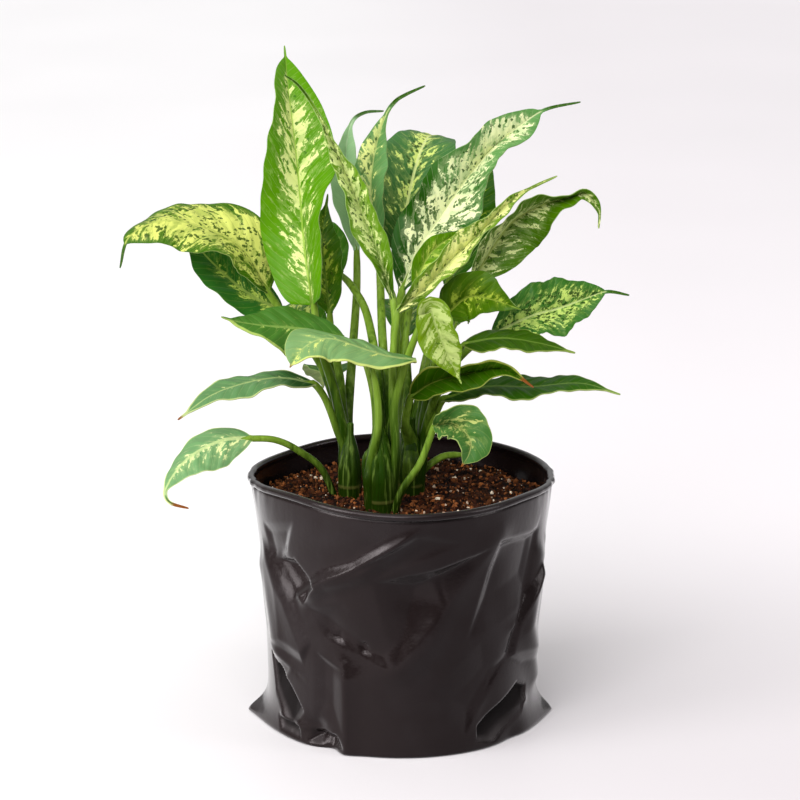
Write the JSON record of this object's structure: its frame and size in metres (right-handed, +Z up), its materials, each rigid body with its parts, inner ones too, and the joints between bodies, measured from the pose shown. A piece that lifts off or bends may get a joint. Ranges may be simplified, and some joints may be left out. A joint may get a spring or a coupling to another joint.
{
  "type": "potted dieffenbachia",
  "caption": "Leafy house plant with broad pointed variegated leaves on upright stalks, growing in a soil-filled black film nursery bag that stands on a flat base.",
  "frame": {"origin": "middle of the bag's base, on the surface it stands on", "axes": "+Z up along the stalks, -Y towards the front of the plant, +X to the right as seen from the front"},
  "size_m": [0.2794, 0.2506, 0.3661],
  "materials": {
    "film": "glossy black polythene film",
    "soil": "rough moist potting soil",
    "stem": "smooth green stem",
    "leaf": "waxy leaf, green with cream-yellow marks"
  },
  "bodies": {
    "root": {"grow_bag": "film", "potting_soil": "soil", "stalk_left": "stem", "stalk_centre": "stem", "stalk_right": "stem", "leaf_01": "leaf", "leaf_02": "leaf", "leaf_03": "leaf", "leaf_04": "leaf", "leaf_05": "leaf", "leaf_06": "leaf", "leaf_07": "leaf", "leaf_08": "leaf", "leaf_09": "leaf", "leaf_10": "leaf", "leaf_11": "leaf", "leaf_12": "leaf", "leaf_13": "leaf", "leaf_14": "leaf", "leaf_15": "leaf", "leaf_16": "leaf", "leaf_17": "leaf", "leaf_18": "leaf", "leaf_19": "leaf", "leaf_20": "leaf", "leaf_21": "leaf", "leaf_22": "leaf", "leaf_23": "leaf", "leaf_24": "leaf", "leaf_25": "leaf", "leaf_26": "leaf", "leaf_27": "leaf", "leaf_28": "leaf", "leaf_29": "leaf", "leaf_30": "leaf"}
  },
  "joints": []
}
